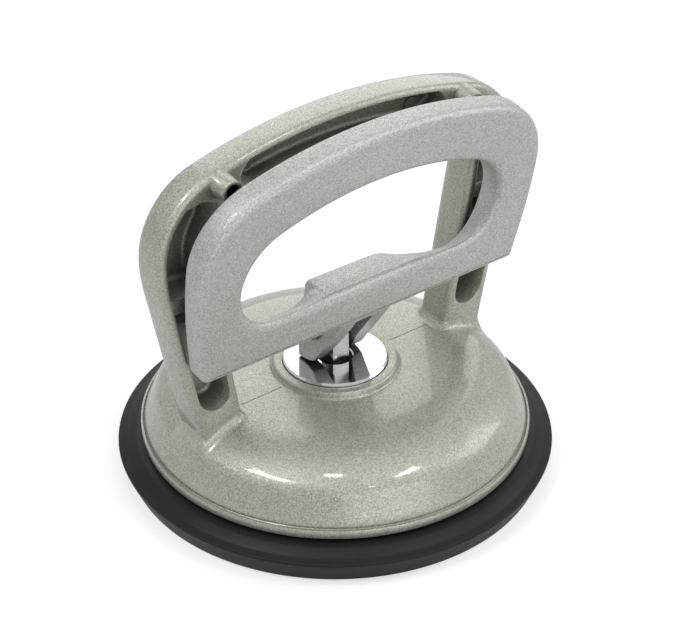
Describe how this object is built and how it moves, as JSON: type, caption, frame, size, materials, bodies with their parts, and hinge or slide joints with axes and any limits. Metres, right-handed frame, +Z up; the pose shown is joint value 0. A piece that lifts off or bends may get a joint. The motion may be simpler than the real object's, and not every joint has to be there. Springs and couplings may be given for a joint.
{
  "type": "floor tile suction lifter",
  "caption": "Hand-held vacuum lifter for floor tiles: rubber suction cup under a domed cast body with a fixed arch handle and a cam lever that pulls the cup's centre up.",
  "frame": {"origin": "centre of the cup's foot circle, on the floor", "axes": "+Z up along the pull rod, +X along the fixed handle, cam lever on the -Y side"},
  "size_m": [0.12, 0.12, 0.1093],
  "materials": {
    "cast_body": "glossy silver metallic paint",
    "cast_lever": "satin silver metallic paint",
    "chrome_disc": "polished",
    "bright_steel": "turned",
    "zinc_steel": "zinc plated",
    "spring_steel": "oiled",
    "bush_brass": "turned",
    "cup_rubber": "matt black"
  },
  "bodies": {
    "body": {"housing": "cast_body", "wear_disc": "chrome_disc", "guide_bush": "bush_brass", "spring_seat": "zinc_steel", "return_spring": "spring_steel", "cup": "cup_rubber"},
    "rod": {"pull_rod": "bright_steel", "backing_plate": "zinc_steel", "lock_washer": "spring_steel", "jam_nut": "zinc_steel"},
    "lever": {"lever": "cast_lever", "pivot_pin": "bright_steel", "pin_circlip_left": "spring_steel", "pin_circlip_right": "spring_steel"}
  },
  "joints": [
    {"name": "rod_slide", "type": "slide", "parent": "body", "child": "rod", "axis": [0, 0, 1], "range_m": [-0.0043, 0.00023], "deforming": ["cup", "return_spring"]},
    {"name": "lever_hinge", "type": "hinge", "parent": "rod", "child": "lever", "pos_m": [0, 0, 0.044], "axis": [1, 0, 0], "range_deg": [-3, 55]}
  ],
  "couplings": [
    {"joint": "lever_hinge", "follows": "rod_slide", "rad_per_m": -222.22}
  ]
}
